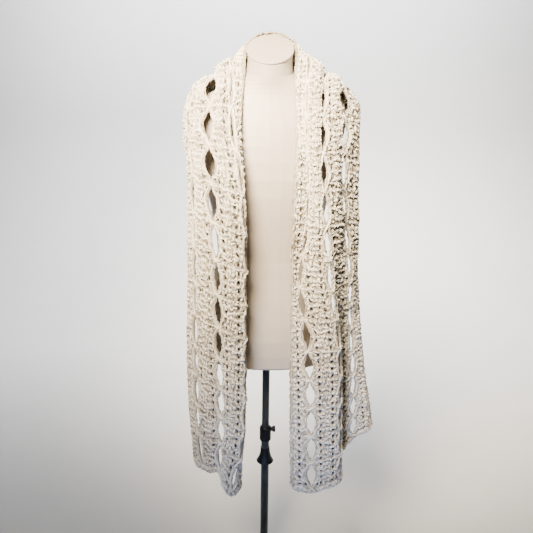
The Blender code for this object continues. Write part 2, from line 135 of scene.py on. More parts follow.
# soft creases: lengths of the waves along and across, and their heights
creased = {
    "waves": (
        (0.31, 0.085, 0.9), (0.19, 0.052, 0.7), (0.11, 0.071, 0.55), (0.067, 0.043, 0.45),
        (0.041, 0.035, 0.3),
    ),
    "bend": 1.3,
    "level": 1.3,                # the higher, the more of the cloth is raised
    "height": 0.0009,
}

# lines of the cloth at each cut, x y z in centimetres: inner edge, three columns, outer edge
drapeSections = (
    ((-6.4, -15, 47.2), (-9.2, -18.2, 47.4), (-11.9, -15.4, 52.4), (-16.8, -10.8, 50), (-19.6, -6.4, 48.4)),
    ((-7.2, -13.4, 63.2), (-6, -17.2, 63.6), (-11.2, -16.2, 67), (-17.8, -11, 67.2), (-20.8, -6.4, 66.6)),
    ((-8.6, -12.6, 87), (-5.5, -15.6, 87.5), (-11.6, -16.2, 91), (-17.8, -10.8, 92), (-20.6, -6, 91.4)),
    ((-8.6, -13.2, 111), (-5.4, -15.8, 111), (-12, -16.4, 114), (-17.4, -10.2, 115), (-19.8, -5.4, 114)),
    ((-6.6, -12.8, 131), (-6.4, -15, 132), (-13.3, -13.2, 134), (-17.9, -7, 134.5), (-20, -1.6, 132)),
    ((-6.9, -9, 142.5), (-8.6, -11, 142.5), (-13.8, -8.9, 143.2), (-19, -3.4, 142.4), (-20.8, 1.6, 138.4)),
    ((-6.2, -3.6, 152.8), (-9, -4, 153), (-13.3, -2.6, 152.4), (-18.8, 0.4, 149.8), (-21.2, 4, 144)),
    ((-6, 0.6, 158.2), (-8.9, 1.5, 157.5), (-12.8, 3, 153.8), (-17.8, 5.4, 149.4), (-20.4, 8.6, 142.6)),
    ((-5, 4.4, 162.1), (-6.8, 6.2, 158.6), (-8.6, 9.4, 151.2), (-10.8, 12, 144), (-11.9, 13.4, 138)),
    ((0, 6.8, 164.1), (0, 8.5, 158.9), (0, 11.4, 150.6), (0, 13.3, 142.2), (0, 13.9, 136.6)),
    ((5.2, 4.4, 162.4), (7, 6.2, 158.9), (8.8, 9.4, 151.4), (10.9, 12, 144.4), (12, 13.4, 138.4)),
    ((6.2, 0.8, 158.9), (9.1, 1.4, 158), (12.8, 3, 154.6), (18, 5.2, 151), (21.2, 8.4, 144.4)),
    ((6.1, -3.4, 153.2), (9, -4.4, 153), (12.4, -3.6, 152.6), (17.4, -1, 151.8), (21.9, 2.6, 147.2)),
    ((6.4, -9.8, 142.5), (8.8, -10.6, 142.4), (12, -10.4, 142), (17.6, -5.4, 141.6), (22.1, -0.4, 139.4)),
    ((6, -14, 132), (9.4, -12.8, 131.6), (12.7, -13.6, 131.2), (17.8, -7.8, 130.6), (22.3, -2, 128.8)),
    ((5.6, -15, 119.5), (9.2, -13.2, 119.2), (13.8, -14.6, 118.4), (19, -7.4, 117.8), (22.9, -2.6, 116.6)),
    ((5.8, -14.6, 107.5), (8, -13.4, 107.2), (15.2, -14, 106.4), (20.8, -6.6, 106.4), (23.4, -2, 106)),
    ((6.2, -14.2, 91), (10.2, -14.8, 91), (18, -13.4, 90.8), (21.9, -5, 92.4), (24.7, -1.8, 93)),
    ((6.6, -14, 70.6), (11.8, -15.2, 70.6), (19.4, -13.2, 71.4), (23.6, -5, 75.4), (27, -2.6, 76.8)),
    ((7.3, -14.3, 46.6), (12.8, -15.4, 46.6), (20.4, -13.2, 48.6), (24.7, -5.2, 57), (30.2, -3.6, 58.8)),
)
# how far the two inner bands bow out there, in centimetres
drapeBows = (
    (0.7, 0.4), (0.9, 0.6), (1.0, 0.6), (1.0, 0.6), (1.1, 0.8), (1.1, 0.8), (1.1, 0.9),
    (1.1, 0.9), (1.1, 0.9), (0.8, 0.6), (1.1, 0.9), (1.1, 0.9), (1.1, 0.9), (1.1, 0.8),
    (1.1, 0.8), (1.1, 0.4), (0.9, -0.6), (0.8, -1.6), (0.7, -2.2), (0.6, -2.2),
)
# how far the eyes of the first, middle and third column are drawn open there
eyeSlack = (
    (0.9, 0.9, 0.7), (0.65, 0.9, 0.7), (0.6, 0.85, 0.7), (0.6, 0.85, 0.75), (0.6, 1.45, 0.8),
    (0.6, 1.75, 0.75), (0.6, 1.85, 0.7), (0.7, 1.6, 0.7), (0.8, 1.1, 0.9), (0.8, 0.9, 0.9),
    (0.8, 1.0, 0.9), (0.7, 1.0, 1.3), (0.5, 0.9, 1.8), (0.5, 1.0, 1.0), (0.5, 0.9, 0.85),
    (0.7, 0.75, 0.65), (0.9, 0.6, 0.6), (1.0, 0.6, 0.55), (1.0, 0.6, 0.7), (1.0, 0.6, 0.8),
)
# outline of the form: height, half width, front, back, roundness
formRings = (
    (0.803, 0.166, 0.103, 0.108, 2.3), (0.840, 0.172, 0.107, 0.114, 2.3),
    (0.900, 0.174, 0.107, 0.116, 2.3), (0.980, 0.160, 0.100, 0.104, 2.3),
    (1.060, 0.137, 0.0930, 0.089, 2.3), (1.110, 0.130, 0.0930, 0.085, 2.3),
    (1.180, 0.139, 0.0985, 0.089, 2.3), (1.250, 0.152, 0.1050, 0.098, 2.3),
    (1.310, 0.163, 0.1055, 0.105, 2.3), (1.370, 0.175, 0.0970, 0.106, 2.2),
    (1.420, 0.187, 0.084, 0.100, 2.1), (1.455, 0.187, 0.072, 0.092, 1.95),
    (1.480, 0.179, 0.061, 0.084, 1.8), (1.500, 0.150, 0.055, 0.076, 1.7),
    (1.520, 0.100, 0.053, 0.066, 1.7), (1.545, 0.062, 0.054, 0.057, 1.85),
    (1.570, 0.054, 0.054, 0.054, 2.0), (1.600, 0.054, 0.054, 0.054, 2.0),
)
formReach = (0.783, 1.63)        # heights between which the cloth can meet it
neckLean = {"degrees": 30, "start": 1.52, "rise": 0.08}


def blendRows(stations, values, places):
    # smooth curve through every row of the values, at many places at once
    stations = np.asarray(stations, dtype=float)
    values = np.asarray(values, dtype=float)
    places = np.asarray(places, dtype=float)
    last = len(stations) - 1
    k = np.clip(np.searchsorted(stations, places, side="right") - 1, 0, last - 1)
    low = np.maximum(np.arange(last + 1) - 1, 0)
    high = np.minimum(np.arange(last + 1) + 1, last)
    shape = (-1,) + (1,) * (values.ndim - 1)
    slopes = (values[high] - values[low]) / (stations[high] - stations[low]).reshape(shape)
    step = (stations[k + 1] - stations[k]).reshape(shape)
    t = (places - stations[k]).reshape(shape) / step
    start, end, rise = slopes[k] * step, slopes[k + 1] * step, values[k + 1] - values[k]
    return values[k] + t * start + t * t * (3 * rise - 2 * start - end) + t ** 3 * (start + end - 2 * rise)


drapeGrid = {"rows": 760, "lines": 88, "runStep": 0.002}
drape = np.array(drapeSections) / 100
bows = np.array(drapeBows) / 100
rings = np.array(formRings)
sectionLengths = np.concatenate(([0.0], np.cumsum(np.linalg.norm(np.diff(drape[:, 2], axis=0), axis=1))))
scarfLength = float(sectionLengths[-1])
edgeToColumn = scarf["width"] / 2 - scarf["columnSpacing"]
columnPlaces = (edgeToColumn, scarf["width"] / 2, scarf["width"] - edgeToColumn)

eyeNumbers = np.arange(scarf["eyesPerColumn"] + 1)
shares = (eyeNumbers + np.minimum(eyeNumbers / scarf["longEyes"], 1)) / (scarf["eyesPerColumn"] + 1)
shares = shares - scarf["hangingStretch"] * np.sin(2 * np.pi * shares) / (2 * np.pi)
knotPlaces = scarf["hemBorder"] + shares * (scarfLength - 2 * scarf["hemBorder"])


def formLevel(points):
    # below 1 inside the dress form, 1 on its surface
    x, y, z = points[:, 0], points[:, 1], points[:, 2]
    height = z.copy()
    for _ in range(3):
        share = np.clip((height - neckLean["start"]) / neckLean["rise"], 0, 1)
        lean = math.tan(math.radians(neckLean["degrees"])) * share
        height = z - y * lean
    row = blendRows(rings[:, 0], rings[:, 1:], np.clip(height, rings[0, 0], rings[-1, 0]))
    depth = np.where(y < 0, row[:, 1], row[:, 2])
    power = row[:, 3]
    return ((abs(x) / row[:, 0]) ** power + (abs(y) / depth) ** power) ** (1 / power)


def formSlope(points):
    step = 0.0005
    return np.stack([
        (formLevel(points + step * axis) - formLevel(points - step * axis)) / (2 * step) for axis in np.eye(3)
    ], axis=1)


def besideForm(points):
    return (points[:, 2] < formReach[1]) & (points[:, 2] > formReach[0])


def gapToForm(points):
    # distance from the form, or a large one above and below it
    gap = (formLevel(points) - 1) / np.linalg.norm(formSlope(points), axis=1)
    return np.where(besideForm(points), gap, 0.05)


def keepClear(points, distance):
    # moves the cloth's points out until they are this far from the form
    points = points.copy()
    near = np.nonzero(besideForm(points))[0]
    for _ in range(6):
        spot = points[near]
        slope = formSlope(spot)
        size = np.linalg.norm(slope, axis=1)
        gap = (formLevel(spot) - 1) / size
        close = gap < distance
        if not close.any():
            break
        points[near[close]] += slope[close] / size[close, None] * (distance - gap[close])[:, None]
        near = near[close]
    return points


def buildDrapeGrid():
    # places and outward directions of the cloth on a fine grid along and across it
    alongs = np.linspace(0, scarfLength, drapeGrid["rows"])
    acrosses = np.linspace(0, scarf["width"], drapeGrid["lines"])
    step = drapeGrid["runStep"]
    lines = blendRows(sectionLengths, drape, alongs)
    bow = blendRows(sectionLengths, bows, alongs)
    run = blendRows(sectionLengths, drape, alongs + step) - blendRows(sectionLengths, drape, alongs - step)
    places, control = [0.0, columnPlaces[0]], [lines[:, 0], lines[:, 1]]
    for k in (1, 2):
        outward = np.cross(run[:, k] + run[:, k + 1], lines[:, k + 1] - lines[:, k])
        outward /= np.linalg.norm(outward, axis=1)[:, None]
        places += [(columnPlaces[k - 1] + columnPlaces[k]) / 2, columnPlaces[k]]
        control += [(lines[:, k] + lines[:, k + 1]) / 2 + outward * bow[:, k - 1:k], lines[:, k + 1]]
    places.append(scarf["width"])
    control.append(lines[:, 4])
    points = blendRows(places, np.array(control), acrosses).transpose(1, 0, 2)
    points = keepClear(points.reshape(-1, 3), scarf["offForm"]).reshape(points.shape)
    normals = np.cross(np.gradient(points, axis=0), np.gradient(points, axis=1))
    normals /= np.linalg.norm(normals, axis=2)[:, :, None]
    room = gapToForm(points.reshape(-1, 3)).reshape(points.shape[:2])
    return points, normals, room


gridPoints, gridNormals, gridRoom = buildDrapeGrid()
random = np.random.default_rng(scarf["seed"])
creaseAngles = random.uniform(0, 2 * np.pi, 12)
driftAngles = random.uniform(0, 2 * np.pi, (6, 2))
print("scene: drape of the scarf laid out")


def creases(along, across):
    # soft uneven creases and slack, outwards only, in metres
    total = np.zeros_like(along)
    for k, (alongWave, acrossWave, height) in enumerate(creased["waves"]):
        bendAngle = creaseAngles[k + len(creased["waves"])]
        bend = creased["bend"] * np.sin(2 * np.pi * across / acrossWave + bendAngle)
        total += height * np.sin(2 * np.pi * along / alongWave + creaseAngles[k] + bend)
    return creased["height"] * np.maximum(total + creased["level"], 0)


def roundCorners(along, across):
    # draws the four corners of the scarf in, and fades out along it
    corner = np.clip(1 - np.minimum(across, scarf["width"] - across) / scarf["cornerRadius"], 0, 1) ** 2
    reach = 4 * scarf["cornerRadius"]
    for end, way in ((0.0, 1), (scarfLength, -1)):
        fade = np.clip(1 - np.abs(along - end) / reach, 0, 1)
        along = along + way * scarf["cornerRadius"] * corner * fade
    return along


def clothAt(along, across, lift):
    # points of the cloth, lifted off its middle layer
    along, across = np.asarray(along, float), np.asarray(across, float)
    along = roundCorners(along, across)
    rowCount, lineCount = gridPoints.shape[:2]
    i = along / scarfLength * (rowCount - 1)
    j = across / scarf["width"] * (lineCount - 1)
    i0 = np.clip(np.floor(i).astype(int), 0, rowCount - 2)
    j0 = np.clip(np.floor(j).astype(int), 0, lineCount - 2)
    a, b = (i - i0)[:, None], (j - j0)[:, None]

    def blend(grid):
        low = grid[i0, j0] * (1 - b) + grid[i0, j0 + 1] * b
        high = grid[i0 + 1, j0] * (1 - b) + grid[i0 + 1, j0 + 1] * b
        return low * (1 - a) + high * a

    normal = blend(gridNormals)
    normal /= np.linalg.norm(normal, axis=1)[:, None]
    room = blend(gridRoom[:, :, None])[:, 0]
    height = np.maximum(np.asarray(lift, float) + creases(along, across), yarn["radius"] + 0.0003 - room)
    return blend(gridPoints) + normal * height[:, None]


def eyePhase(along):
    k = np.clip(np.searchsorted(knotPlaces, along) - 1, 0, scarf["eyesPerColumn"] - 1)
    phase = (along - knotPlaces[k]) / (knotPlaces[k + 1] - knotPlaces[k])
    return k, phase


def eyeHalf(along, column):
    # half the opening of a column's eyes at each length
    along = np.asarray(along, float)
    phase = eyePhase(along)[1]
    reach = np.clip(np.abs(phase - 0.5) / (scarf["eyeLengthShare"] / 2), 0, 1)
    slack = blendRows(sectionLengths, eyeSlack, along.reshape(-1))[:, column].reshape(along.shape)
    widest = scarf["eyeHalfWidth"] * slack - scarf["knotHalfWidth"]
    half = scarf["knotHalfWidth"] + widest * np.maximum(np.cos(reach * np.pi / 2), 0)
    if column == 0:
        gather = np.exp(-((along - scarfLength / 2) / scarf["neckGatherReach"]) ** 2)
        half = half * (1 - scarf["neckGather"] * gather)
    return half


# the yarn
yarn = {
    "radius": 0.0022,            # of one strand
    "puff": 0.34,                # how much a stitch swells and thins along its leg
    "strandStep": 0.0042,        # between the points of a strand
    "groundStart": 0.0090,       # where the stitches begin beside an eye
    "edgeStart": 0.0085,         # and beside the scarf's edges
    "endRows": (0.0035, 0.0105), # rows of stitches at each end
    "rowsPerEye": 6,
    "stitchesInner": 6,          # across each inner band
    "stitchesEdge": 4,           # across each edge band
    "drift": 0.0016,             # how far the stitches wander
    "holePush": 0.0064,          # strands keep this far from a small hole's middle
    "holeReach": 0.009,          # and move within this distance of it
    "holeSkew": (0.85, 1.1),     # a small hole is longer along the scarf than across
    "holeShares": (0.125, 0.375, 0.625, 0.875),   # rows of small holes, from knot to knot
    "holeLine": 0.026,           # lines of small holes, from a column
    "edgeHoleLine": 0.024,       # and from the scarf's edge
    "knotHoleLine": 0.0145,      # and beside the knots, from their column
    "jitter": 0.0009,
    "paintedShadeLift": 0.0056,        # lift at which a strand's painted crevice shade is gone and it is at its palest
    "sides": 5,
}


def smallHoles():
    # middles of the small holes along and across the scarf
    holes = []
    first, middle, third = columnPlaces
    lines = [yarn["edgeHoleLine"], first + yarn["holeLine"], middle - yarn["holeLine"],
             middle + yarn["holeLine"], third - yarn["holeLine"], scarf["width"] - yarn["edgeHoleLine"]]
    for low, high in zip(knotPlaces, knotPlaces[1:]):
        for share in yarn["holeShares"]:
            holes += [(low + (high - low) * share, across) for across in lines]
        for share in (yarn["holeShares"][0], yarn["holeShares"][-1]):
            for column in columnPlaces:
                for across in (column - yarn["knotHoleLine"], column + yarn["knotHoleLine"]):
                    holes.append((low + (high - low) * share, across))
    return np.array(holes)


holePlaces = smallHoles()


def pushFromHoles(along, across):
    # opens the small holes: strands move out to their rims
    order = np.argsort(along)
    sortedAlong = along[order]
    moved = np.stack([along, across], axis=1)
    for middleAlong, middleAcross in holePlaces:
        low, high = np.searchsorted(sortedAlong, (middleAlong - 0.010, middleAlong + 0.010))
        chosen = order[low:high]
        offset = moved[chosen] - (middleAlong, middleAcross)
        distance = np.linalg.norm(offset * yarn["holeSkew"], axis=1)
        near = distance < yarn["holeReach"]
        chosen, offset, distance = chosen[near], offset[near], np.maximum(distance[near], 0.0004)
        grown = (distance ** 3 + yarn["holePush"] ** 3) ** (1 / 3)
        moved[chosen] = (middleAlong, middleAcross) + offset * (grown / distance)[:, None]
    return moved[:, 0], moved[:, 1]


def crossesHole(along, across):
    # true for the points inside a small hole
    order = np.argsort(along)
    sortedAlong = along[order]
    inside = np.zeros(len(along), dtype=bool)
    for middleAlong, middleAcross in holePlaces:
        low, high = np.searchsorted(sortedAlong, (middleAlong - 0.006, middleAlong + 0.006))
        chosen = order[low:high]
        distance = np.hypot((along[chosen] - middleAlong) * yarn["holeSkew"][0],
                            (across[chosen] - middleAcross) * yarn["holeSkew"][1])
        inside[chosen[distance < yarn["holePush"] * 0.8]] = True
    return inside


def bandBorders(band, along):
    # across places where a band's stitches begin and end, clear of the eyes' strands
    left = np.full_like(along, yarn["edgeStart"])
    right = np.full_like(along, scarf["width"] - yarn["edgeStart"])
    if band > 0:
        left = columnPlaces[band - 1] + eyeHalf(along, band - 1) + yarn["groundStart"]
    if band < 3:
        right = columnPlaces[band] - eyeHalf(along, band) - yarn["groundStart"]
    return left, right


def stitchRows():
    rows = list(yarn["endRows"])
    count = yarn["rowsPerEye"]
    for low, high in zip(knotPlaces, knotPlaces[1:]):
        rows += [low + (high - low) * k / count for k in range(count)]
    return np.array(rows + [knotPlaces[-1]] + [scarfLength - row for row in reversed(yarn["endRows"])])


def drifted(along, across):
    # lets the rows and stitches wander as handwork does
    total = np.zeros((2, len(along)))
    for k, wave in enumerate((0.021, 0.027, 0.034, 0.046)):
        turn = driftAngles[k, 0]
        place = (along * math.cos(turn) + across * math.sin(turn)) * 2 * np.pi / wave
        total += np.stack([np.sin(place + driftAngles[k, 1]), np.cos(place + driftAngles[5 - k, 1])])
    return along + yarn["drift"] * total[0], across + yarn["drift"] * 0.7 * total[1]


stitch = {
    "over": 0.0011,              # how far a stitch's foot runs past its row
    "shift": 0.25,               # every other row stands this share of a stitch aside
    "lift": 0.0008,
    "swell": 0.0032,             # its foot stands this much higher
    "endLift": 0.0012,
}


def groundStitches(face):
    # slanting stitches between the rows, a zigzag through each band, in front or behind
    paths = []
    rows = stitchRows()
    over = stitch["over"] * face
    for row, (low, high) in enumerate(zip(rows, rows[1:])):
        for band in range(4):
            count = yarn["stitchesInner"] if band in (1, 2) else yarn["stitchesEdge"]
            shift = stitch["shift"] * face if row % 2 else -stitch["shift"] * face
            legs = []
            for k in range(2 * count + 1):
                foot = k % 2 == 0
                place = (k / 2 + shift) / count
                legs.append((low - over if foot else high + over, min(max(place, 0), 1), foot))
            points = []
            for (a0, s0, foot0), (a1, s1, foot1) in zip(legs, legs[1:]):
                for t in (0, 0.33, 0.67):
                    rise = t if foot0 else 1 - t
                    swell = abs(math.cos(rise * math.pi)) ** 1.5 * (1 if rise > 0.5 else 0.3)
                    lift = face * (stitch["lift"] + stitch["swell"] * swell)
                    points.append((a0 + (a1 - a0) * t, s0 + (s1 - s0) * t, lift))
            points.append((legs[-1][0], legs[-1][1], face * stitch["endLift"]))
            points = np.array(points)
            left, right = bandBorders(band, points[:, 0])
            along, across = drifted(points[:, 0], left + (right - left) * points[:, 1])
            paths.append(np.stack([along, across, points[:, 2]], axis=1))
    return paths


ridge = {
    "lift": 0.0032,
    "waveAlong": 0.0030,
    "waveUp": 0.0028,
    "spreadAlong": 0.0011,       # chance spread of its points
    "spreadUp": 0.0006,
}


def rowRidges():
    # one wavy strand over the stitches at every row
    paths = []
    rows = stitchRows()
    for row, along in enumerate(rows[1:-1]):
        for band in range(4):
            count = 2 * (yarn["stitchesInner"] if band in (1, 2) else yarn["stitchesEdge"])
            share = np.linspace(0, 1, 2 * count + 1)
            waves = np.arange(2 * count + 1) + row
            alongs = along + ridge["waveAlong"] * np.sin(waves * np.pi / 2)
            alongs = alongs + random.normal(0, ridge["spreadAlong"], len(waves))
            left, right = bandBorders(band, alongs)
            lift = ridge["lift"] + ridge["waveUp"] * np.cos(waves * np.pi / 2)
            lift = lift + random.normal(0, ridge["spreadUp"], len(waves))
            alongs, acrosses = drifted(alongs, left + (right - left) * share)
            paths.append(np.stack([alongs, acrosses, lift], axis=1))
    return paths


strand = {
    "offsets": (0.0010, 0.0060, 0.0104),   # of the strands beside an eye, from its opening
    "squeeze": 0.55,             # share of that offset at a knot
    "lift": 0.0012,
    "crossLift": 0.0020,         # one passes over the other at a knot
    "stepLift": 0.0012,          # from one strand to the next
}


def eyeStrands():
    # three strands down each side of every column, which cross at the knots
    paths = []
    alongs = np.arange(0.002, scarfLength - 0.002, yarn["strandStep"])
    eye, phase = eyePhase(alongs)
    knotZone = (1 - scarf["eyeLengthShare"]) / 2
    position = eye + phase
    nearest = np.round(position)
    crossing = np.clip((position - nearest) / knotZone, -1, 1)
    swap = np.sin(crossing * np.pi / 2)
    sign = np.where(nearest.astype(int) % 2 == 0, 1, -1) * swap
    for column, middle in enumerate(columnPlaces):
        half = eyeHalf(alongs, column)
        opened = (half - half.min()) / (half.max() - half.min())
        for order, offset in enumerate(strand["offsets"]):
            for side in (-1, 1):
                squeeze = strand["squeeze"] + (1 - strand["squeeze"]) * opened
                across = middle + side * sign * (half + offset * squeeze)
                over = strand["lift"] + strand["crossLift"] * (1 - np.abs(swap)) * side
                paths.append(np.stack([alongs, across, over + strand["stepLift"] * order], axis=1))
    return paths


star = {
    "slants": (-0.9, -0.35, 0.35, 0.9),
    "reachAlong": 0.0125,
    "reachAcross": 0.019,
    "lift": 0.0034,
    "fall": 0.0022,              # of a strand towards its end
    "bars": (-0.0018, 0.0018),   # short bars over the knot
    "barHalf": 0.010,
    "barSlant": 0.0012,
    "barLift": 0.0046,
    "barFall": 0.0016,
}


def knotStars():
    # short strands that spread from every knot into the bands beside it, with two bars over the knot
    paths = []
    for knot in knotPlaces[1:-1]:
        for middle in columnPlaces:
            for side in (-1, 1):
                for slant in star["slants"]:
                    t = np.linspace(0, 1, 5)
                    along = knot + slant * star["reachAlong"] * t ** 0.9
                    across = middle + side * (0.001 + star["reachAcross"] * t)
                    lift = star["lift"] - star["fall"] * t
                    paths.append(np.stack([along, across, lift], axis=1))
            t = np.linspace(-1, 1, 5)
            for bar in star["bars"]:
                along = knot + bar + star["barSlant"] * t
                lift = star["barLift"] - star["barFall"] * t * t
                paths.append(np.stack([along, middle + star["barHalf"] * t, lift], axis=1))
    return paths


border = {
    "edgeStrands": ((0.0006, 0.0), (0.0048, 0.0014), (0.0088, 0.0006)),   # place from the edge, lift
    "scallop": 0.0026,
    "scallopReach": 0.014,       # scallops fade out this far from the edge
    "hemStrands": ((0.0002, 0.0), (0.0035, 0.0026), (0.0035, -0.0024), (0.0080, 0.0016)),
    "hemWave": 0.0008,
    "hemWaveLength": 0.011,
    "hemPoints": 68,
}


def edgeCords():
    # scalloped cords along both long edges
    paths = []
    alongs = np.arange(0.003, scarfLength - 0.002, yarn["strandStep"])
    scallop = np.abs(np.sin((eyePhase(alongs)[1] * 4) * np.pi))
    for side in (-1, 1):
        for offset, lift in border["edgeStrands"]:
            place = offset - border["scallop"] * scallop * (1 - offset / border["scallopReach"])
            across = place if side < 0 else scarf["width"] - place
            paths.append(np.stack([alongs, across, np.full_like(alongs, lift)], axis=1))
    return paths


def hemRolls():
    # rolled borders at the two ends
    paths = []
    acrosses = np.linspace(0.002, scarf["width"] - 0.002, border["hemPoints"])
    for along, lift in border["hemStrands"]:
        wave = np.sin(acrosses * 2 * np.pi / border["hemWaveLength"] + along * 900)
        place = along + border["hemWave"] * wave
        for alongs in (place, scarfLength - place):
            paths.append(np.stack([alongs, acrosses, np.full_like(acrosses, lift)], axis=1))
    return paths


def yarnTree():
    # strands as tubes: a circle swept along every edge path
    tree = bpy.data.node_groups.new("yarnAlongPaths", "GeometryNodeTree")
    tree.interface.new_socket("Geometry", in_out="INPUT", socket_type="NodeSocketGeometry")
    thickness = tree.interface.new_socket("Thickness", in_out="INPUT", socket_type="NodeSocketFloat")
    sides = tree.interface.new_socket("Sides", in_out="INPUT", socket_type="NodeSocketInt")
    finish = tree.interface.new_socket("Finish", in_out="INPUT", socket_type="NodeSocketMaterial")
    tree.interface.new_socket("Geometry", in_out="OUTPUT", socket_type="NodeSocketGeometry")
    start = tree.nodes.new("NodeGroupInput")
    end = tree.nodes.new("NodeGroupOutput")
    toCurve = tree.nodes.new("GeometryNodeMeshToCurve")
    toMesh = tree.nodes.new("GeometryNodeCurveToMesh")
    circle = tree.nodes.new("GeometryNodeCurvePrimitiveCircle")
    radius = tree.nodes.new("GeometryNodeInputNamedAttribute")
    radius.data_type = "FLOAT"
    radius.inputs["Name"].default_value = "yarnRadius"
    smooth = tree.nodes.new("GeometryNodeSetShadeSmooth")
    realize = tree.nodes.new("GeometryNodeRealizeInstances")
    paint = tree.nodes.new("GeometryNodeSetMaterial")
    toMesh.inputs["Fill Caps"].default_value = True
    link = tree.links.new
    link(start.outputs["Geometry"], toCurve.inputs["Mesh"])
    link(start.outputs["Sides"], circle.inputs["Resolution"])
    link(start.outputs["Thickness"], circle.inputs["Radius"])
    link(toCurve.outputs["Curve"], toMesh.inputs["Curve"])
    link(circle.outputs["Curve"], toMesh.inputs["Profile Curve"])
    link(radius.outputs["Attribute"], toMesh.inputs["Scale"])
    link(toMesh.outputs["Mesh"], smooth.inputs["Geometry"])
    link(smooth.outputs["Geometry"], realize.inputs["Geometry"])
    link(realize.outputs["Geometry"], paint.inputs["Geometry"])
    link(start.outputs["Finish"], paint.inputs["Material"])
    link(paint.outputs["Geometry"], end.inputs["Geometry"])
    return tree, {"thickness": thickness.identifier, "sides": sides.identifier, "finish": finish.identifier}


def layYarn(name, paths, opensHoles):
    # bends flat paths onto the cloth and turns them into one mesh of strands
    sizes = [len(path) for path in paths]
    flat = np.concatenate(paths)
    along, across, lift = flat[:, 0].copy(), flat[:, 1].copy(), flat[:, 2].copy()
    along += random.normal(0, yarn["jitter"], len(along))
    across += random.normal(0, yarn["jitter"], len(along))
    lift = lift + random.normal(0, yarn["jitter"] * 0.8, len(along))
    starts = np.cumsum([0] + sizes[:-1])
    first = np.concatenate([np.arange(s, s + n - 1) for s, n in zip(starts, sizes)])
    if opensHoles:
        along, across = pushFromHoles(along, across)
        middles = (along[first] + along[first + 1]) / 2, (across[first] + across[first + 1]) / 2
        first = first[~crossesHole(*middles)]
    points = clothAt(along, across, lift)
    edges = np.stack([first, first + 1], axis=1)
    used = np.unique(edges)
    renumber = np.full(len(points), -1)
    renumber[used] = np.arange(len(used))
    mesh = bpy.data.meshes.new(name)
    mesh.from_pydata(points[used].tolist(), renumber[edges].tolist(), [])
    radii = mesh.attributes.new("yarnRadius", "FLOAT", "POINT")
    slub = 1 + yarn["puff"] * np.sin(np.cumsum(random.normal(0, 0.9, len(used))))
    radii.data.foreach_set("value", slub.astype(np.float32))
    # painted crevice shade: a strand's value rises with its lift off the cloth's middle, front or back, plus
    # a random tone per strand
    paintedShadeHeights = mesh.attributes.new("paintedShadeHeight", "FLOAT", "POINT")
    toneAndPaintedShade = np.repeat(random.normal(0, 0.10, len(paths)), sizes) + np.abs(lift) / yarn["paintedShadeLift"]
    paintedShadeHeights.data.foreach_set("value", np.clip(toneAndPaintedShade[used], 0, 1).astype(np.float32))
    path = placeObject(name + "Paths", mesh)
    modifier = path.modifiers.new("strands", "NODES")
    modifier.node_group = yarnGroup
    modifier[yarnSockets["thickness"]] = yarn["radius"]
    modifier[yarnSockets["sides"]] = yarn["sides"]
    modifier[yarnSockets["finish"]] = yarnFinish
    evaluated = path.evaluated_get(bpy.context.evaluated_depsgraph_get())
    result = bpy.data.meshes.new_from_object(evaluated)
    piece = placeObject(name, result)
    bpy.data.objects.remove(path, do_unlink=True)
    print("scene:", name, len(result.polygons), "faces")
    return piece


# the scarf's own layer
ground = {
    "halfWall": 0.0007,
    "rowsPerEye": 12,
    "endRow": 0.008,
    "edgeLines": (0.001, 0.0075, 0.015),
    "eyeRim": 0.0045,            # from an eye's opening to the layer's edge
    "eyeCut": 0.0042,            # cells with their middle nearer than this are left out
    "holeHalf": 0.003,           # half the width of the cells behind a small hole
    "holeShade": 0.0017,         # cells with their middle nearer than this get the near black painted shade
}


def layerPlaces(along):
    # across places of the layer's lines at one length
    halves = [float(eyeHalf(along, column)) + ground["eyeRim"] for column in range(3)]
    first, middle, third = columnPlaces
    line = yarn["holeLine"]
    edge = yarn["edgeHoleLine"]
    hole = ground["holeHalf"]
    places = list(ground["edgeLines"]) + [edge - hole, edge + hole]
    places += [(edge + hole + first - halves[0]) / 2, first - halves[0], first, first + halves[0]]
    for k, (left, right) in enumerate(((first, middle), (middle, third))):
        near = left + halves[k]
        far = right - halves[k + 1]
        stop = left + line - hole
        back = right - line + hole
        places += [near + (stop - near) / 3, near + (stop - near) * 2 / 3, stop, stop + 2 * hole]
        between = back - stop - 4 * hole
        places += [stop + 2 * hole + between / 3, stop + 2 * hole + between * 2 / 3]
        places += [back - 2 * hole, back, back + (far - back) / 3, back + (far - back) * 2 / 3]
        places += [far, right, right + halves[k + 1]]
    width = scarf["width"]
    places += [(width - edge - hole + third + halves[2]) / 2, width - edge - hole, width - edge + hole]
    places += [width - line for line in reversed(ground["edgeLines"])]
    return places


